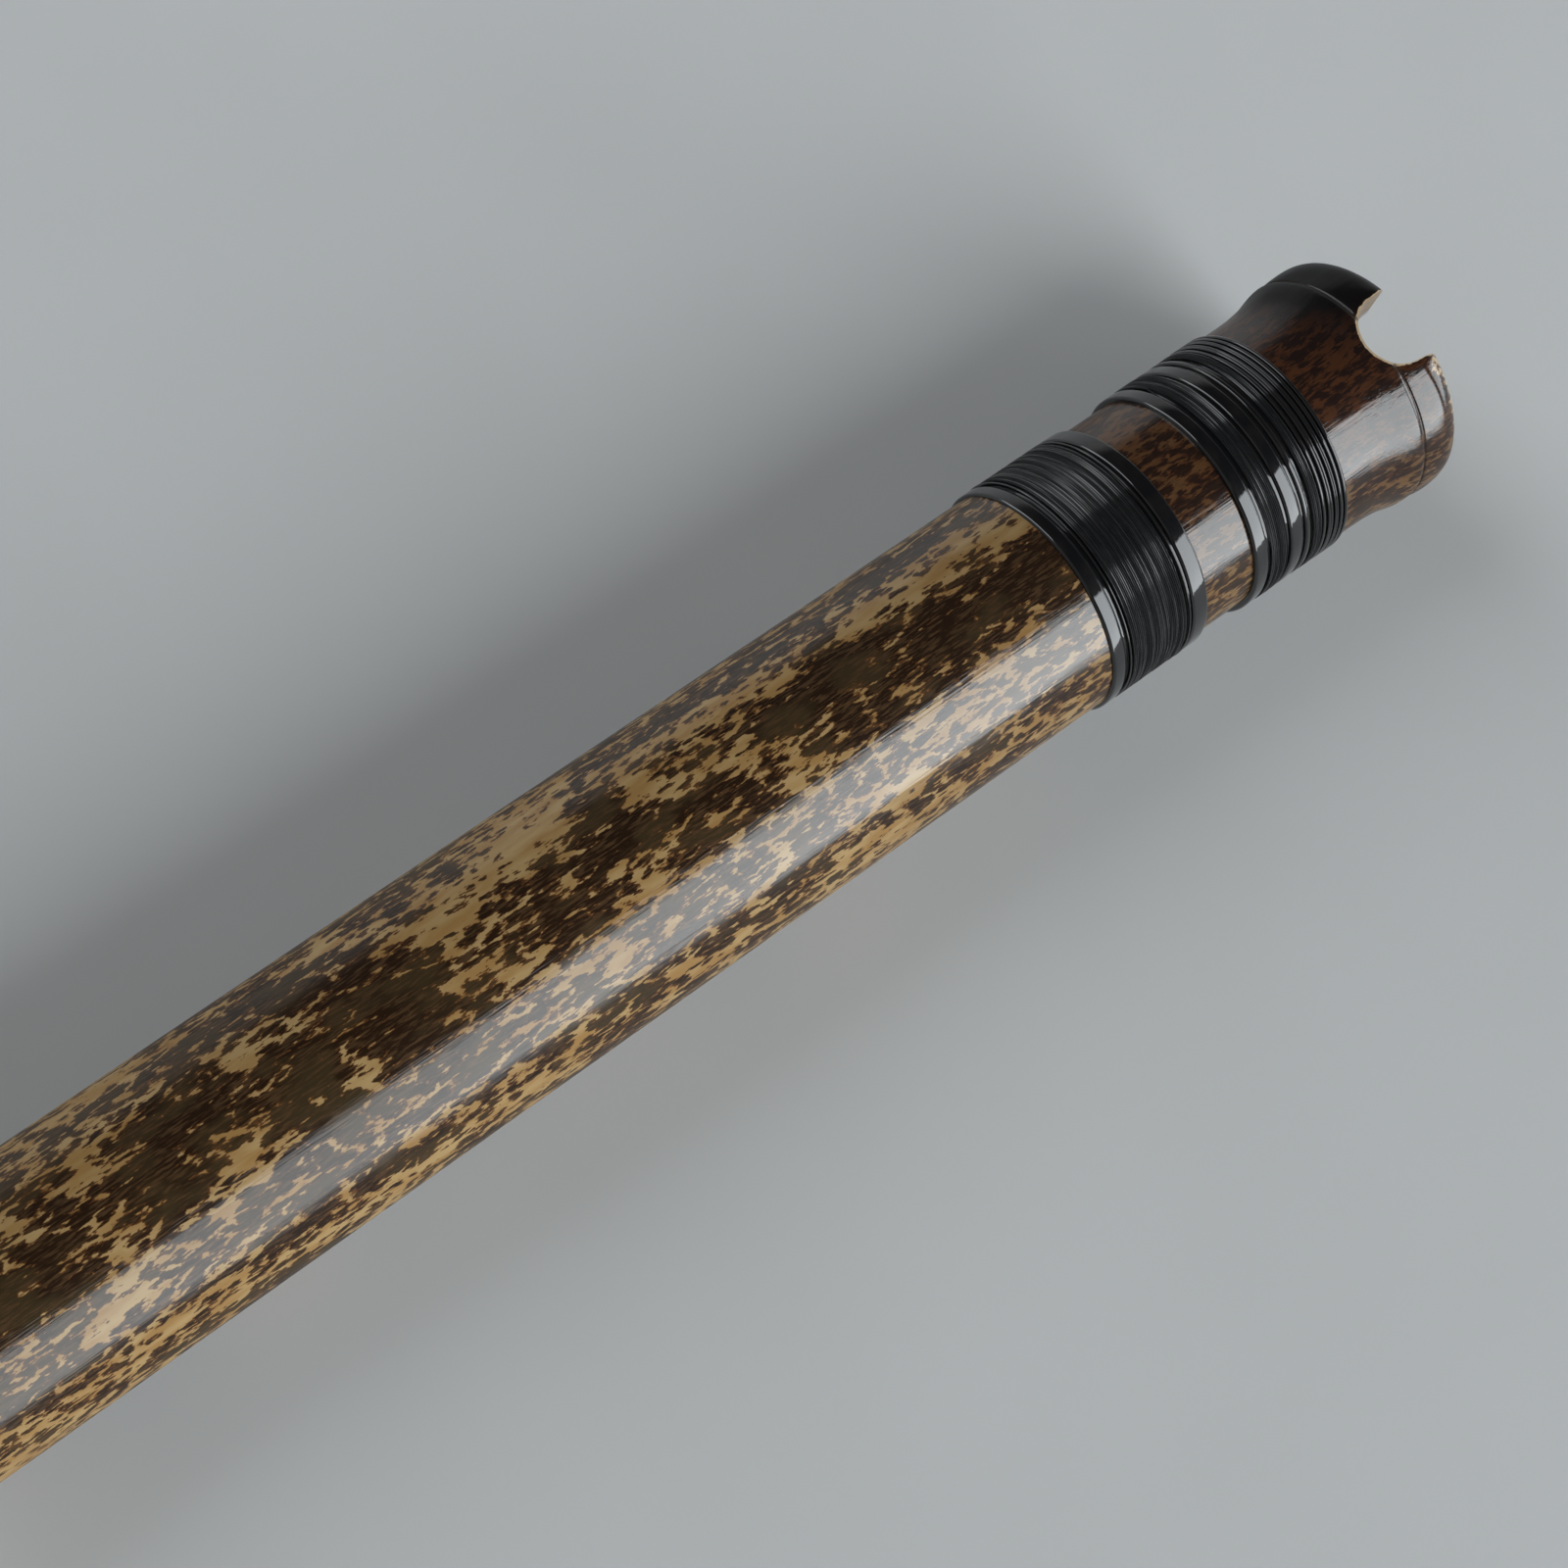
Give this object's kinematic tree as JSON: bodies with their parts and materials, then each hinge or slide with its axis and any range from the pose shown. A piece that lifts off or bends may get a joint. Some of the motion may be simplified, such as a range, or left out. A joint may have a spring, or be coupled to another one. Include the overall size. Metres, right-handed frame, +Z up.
{
  "type": "shakuhachi",
  "caption": "End-blown bamboo flute in two sections with a U-shaped blowing notch, black thread bindings, finger holes, a tenon joint and a flared root end, lying on its back.",
  "frame": {"origin": "centre of the flute's footprint on the surface that it lies on: half way along its length, in its plane of symmetry", "axes": "+X along the flute towards its mouth end, +Z up, with the blowing notch and the front finger holes on top and the thumb hole below"},
  "size_m": [0.636, 0.048, 0.0483],
  "materials": {
    "bamboo": "mottled bamboo skin, dark brown blotches on tan, under clear gloss lacquer",
    "bore_lacquer": "dark red lacquer, gloss",
    "black_lacquer": "black lacquer, gloss",
    "black_thread": "fine black thread, lacquered, satin",
    "tenon_wood": "bare bamboo, satin",
    "packing_thread": "waxed red thread, matte",
    "nickel_silver": "nickel silver, brushed"
  },
  "bodies": {
    "body_section": {"body_culm": "bamboo", "body_bore_lining": "bore_lacquer", "socket_sleeve": "bore_lacquer", "body_joint_ring": "nickel_silver", "upper_body_binding_bed": "black_lacquer", "upper_body_binding_winding": "black_thread", "lower_body_binding_bed": "black_lacquer", "lower_body_binding_winding": "black_thread"},
    "packing": {"tenon_packing": "packing_thread"},
    "head_section": {"head_culm": "bamboo", "head_bore_lining": "bore_lacquer", "mouth_binding_bed": "black_lacquer", "mouth_binding_winding": "black_thread", "neck_binding_bed": "black_lacquer", "neck_binding_winding": "black_thread", "tenon": "tenon_wood", "head_joint_ring": "nickel_silver"}
  },
  "joints": [
    {"name": "head_pull", "type": "slide", "parent": "body_section", "child": "packing", "axis": [1, 0, 0], "range_m": [0, 0.03]},
    {"name": "head_twist", "type": "hinge", "parent": "packing", "child": "head_section", "pos_m": [0.049, 0, 0.01855], "axis": [1, 0, 0], "continuous": true}
  ]
}
